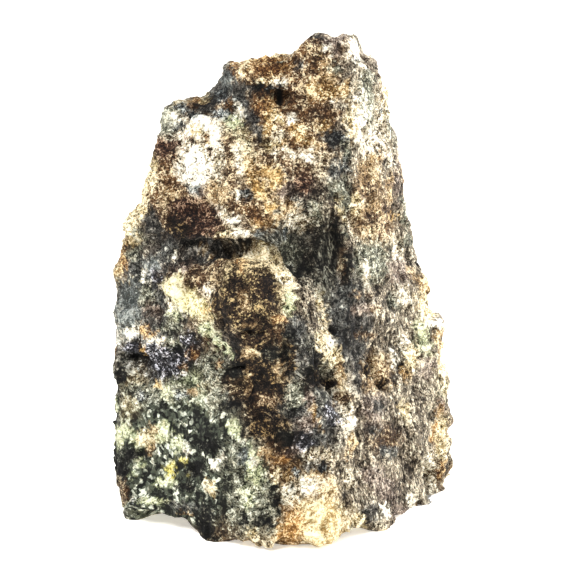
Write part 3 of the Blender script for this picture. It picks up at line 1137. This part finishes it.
def weathered_diorite():
    """Broken and weathered diorite: a dull, rough silicate rock. Dark hornblende and biotite, brown rust
    and pale feldspar, in grains that the eye can just tell apart, give it its salt and pepper. Its IOR is
    left at 1.5, near that of feldspar, and the broken grains mirror little."""
    material = bpy.data.materials.new("weathered_orbicular_diorite")
    material.use_nodes = True
    tree = material.node_tree
    shader = tree.nodes["Principled BSDF"]
    shader.inputs["Specular IOR Level"].default_value = SPECULAR
    place = node(tree, "ShaderNodeTexCoord").outputs["Object"]
    dark = node(tree, "ShaderNodeAttribute", attribute_name="dark_grain")
    middle = node(tree, "ShaderNodeAttribute", attribute_name="middle_grain")
    light = node(tree, "ShaderNodeAttribute", attribute_name="light_grain")
    grain, lot = grain_of(tree, place, *PLAIN_GRAINS)
    grain = streaked(tree, place, grain, middle.outputs["Alpha"])
    grain = crystalline(tree, place, grain, light.outputs["Alpha"])
    lean = {"Value": dark.outputs["Alpha"], "To Min": -1.0, "To Max": 1.0}
    lean = node(tree, "ShaderNodeMapRange", lean).outputs["Result"]
    tone = node(tree, "ShaderNodeMath", {0: grain, 1: lean}).outputs[0]
    colour = dark.outputs["Color"]
    for (start, end), lighter in ((MIDDLE_FROM, middle), (LIGHT_FROM, light)):
        step = {"Value": tone, "From Min": start, "From Max": end}
        step = node(tree, "ShaderNodeMapRange", step).outputs["Result"]
        colour = {0: step, 6: colour, 7: lighter.outputs["Color"]}
        colour = node(tree, "ShaderNodeMix", colour, data_type="RGBA").outputs[2]
    for tint, start, full in TINTS:
        step = {"Value": lot, "From Min": start, "From Max": full, "To Max": TINT_STRENGTH}
        step = node(tree, "ShaderNodeMapRange", step).outputs["Result"]
        colour = {0: step, 6: colour, 7: (*linear(tint), 1.0)}
        colour = node(tree, "ShaderNodeMix", colour, data_type="RGBA", blend_type="MULTIPLY").outputs[2]
    tree.links.new(colour, shader.inputs["Base Color"])
    dull = {"Value": tone, "From Min": ROUGHNESS_SPAN[0], "From Max": ROUGHNESS_SPAN[1]}
    dull.update({"To Min": ROUGHNESS[0], "To Max": ROUGHNESS[1]})
    dull = node(tree, "ShaderNodeMapRange", dull).outputs["Result"]
    tree.links.new(dull, shader.inputs["Roughness"])
    bump = {"Height": grain, "Distance": GRAIN_RELIEF * MM, "Strength": GRAIN_RELIEF_STRENGTH}
    bump = node(tree, "ShaderNodeBump", bump).outputs["Normal"]
    tree.links.new(bump, shader.inputs["Normal"])
    return material


def store(mesh, name, colours, alpha):
    """Keeps a colour and a plain value at each point of the surface, for the material to read."""
    layer = mesh.color_attributes.new(name, "FLOAT_COLOR", "POINT")
    values = np.concatenate([colours, alpha[:, None]], axis=1)
    layer.data.foreach_set("color", values.astype(np.float32).ravel())


def crusted_stone():
    """The stone as the eye sees it."""
    stone = fine_copy()
    mesh = stone.data
    points = read(mesh.vertices, "co") / MM
    normals = read(mesh.vertex_normals, "vector")
    surface = laid_minerals(points, normals)
    moved, stand = crusted(points, normals, surface)
    mesh.vertices.foreach_set("co", (moved * MM).astype(np.float32).ravel())
    mesh.update()

    # The lean goes from -1 to 1, and a stored value from 0 to 1; the material turns it back.
    lean = surface[:, LEAN] + WEAR * np.clip(stand / WEAR_HEIGHT, *WEAR_LIMITS)
    store(mesh, "dark_grain", surface[:, DARK], lean * 0.5 + 0.5)
    store(mesh, "middle_grain", surface[:, MIDDLE], surface[:, STREAK])
    store(mesh, "light_grain", surface[:, LIGHT], surface[:, CRYSTAL])
    only(stone)
    bpy.ops.object.shade_smooth()
    mesh.materials.clear()
    mesh.materials.append(weathered_diorite())
    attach(stone, "root")
    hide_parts(NODE)


def matt_white_card():
    """Matt white card: an even, unglossy white with a faint warmth. It glows a little, more so further off,
    and so the floor stays as white as a studio's sweep does."""
    material = bpy.data.materials.new("matt_white_card")
    material.use_nodes = True
    tree = material.node_tree
    shader = tree.nodes["Principled BSDF"]
    shader.inputs["Base Color"].default_value = (*linear("#fbfaf6"), 1.0)
    shader.inputs["Roughness"].default_value = 0.9
    shader.inputs["Emission Color"].default_value = (*linear("#fffaf0"), 1.0)
    place = node(tree, "ShaderNodeTexCoord").outputs["Object"]
    away = node(tree, "ShaderNodeVectorMath", {0: place}, operation="LENGTH").outputs["Value"]
    glow = {"Value": away, "From Min": GLOW_SPAN[0] * MM, "From Max": GLOW_SPAN[1] * MM}
    glow.update({"To Min": GLOW[0], "To Max": GLOW[1]})
    glow = node(tree, "ShaderNodeMapRange", glow).outputs["Result"]
    tree.links.new(glow, shader.inputs["Emission Strength"])
    return material


def studio():
    """A pale floor, an even white surround and soft lights from above and both sides."""
    bpy.ops.object.select_all(action="DESELECT")
    bpy.ops.mesh.primitive_plane_add(size=FLOOR * MM, location=(0.0, 0.0, 0.0))
    floor = bpy.context.active_object
    floor.name = "studio_floor"
    floor.data.materials.append(matt_white_card())
    world = bpy.data.worlds.new("white_surround")
    world.use_nodes = True
    background = world.node_tree.nodes["Background"]
    background.inputs["Color"].default_value = (*linear("#fdfdff"), 1.0)
    background.inputs["Strength"].default_value = SURROUND
    bpy.context.scene.world = world
    for name, place, side, power in SOFTBOXES:
        light = bpy.data.lights.new(name, "AREA")
        light.shape = "SQUARE"
        light.size = side * MM
        light.energy = power
        lamp = bpy.data.objects.new(name, light)
        bpy.context.scene.collection.objects.link(lamp)
        lamp.location = Vector(place) * MM
        aim = AIM - Vector(place)
        lamp.rotation_euler = aim.to_track_quat("-Z", "Y").to_euler()


def camera():
    """The photograph's view: a long lens, slightly above the stone."""
    eye, forward, _right, _up = viewpoint()
    data = bpy.data.cameras.new("camera")
    data.lens = LENS
    data.sensor_width = FILM
    data.clip_start = NEAREST * MM
    holder = bpy.data.objects.new("camera", data)
    bpy.context.scene.collection.objects.link(holder)
    holder.location = eye * MM
    holder.rotation_euler = forward.to_track_quat("-Z", "Y").to_euler()
    bpy.context.scene.camera = holder


camera()
crusted_stone()
studio()
bpy.context.scene.view_settings.view_transform = "Standard"
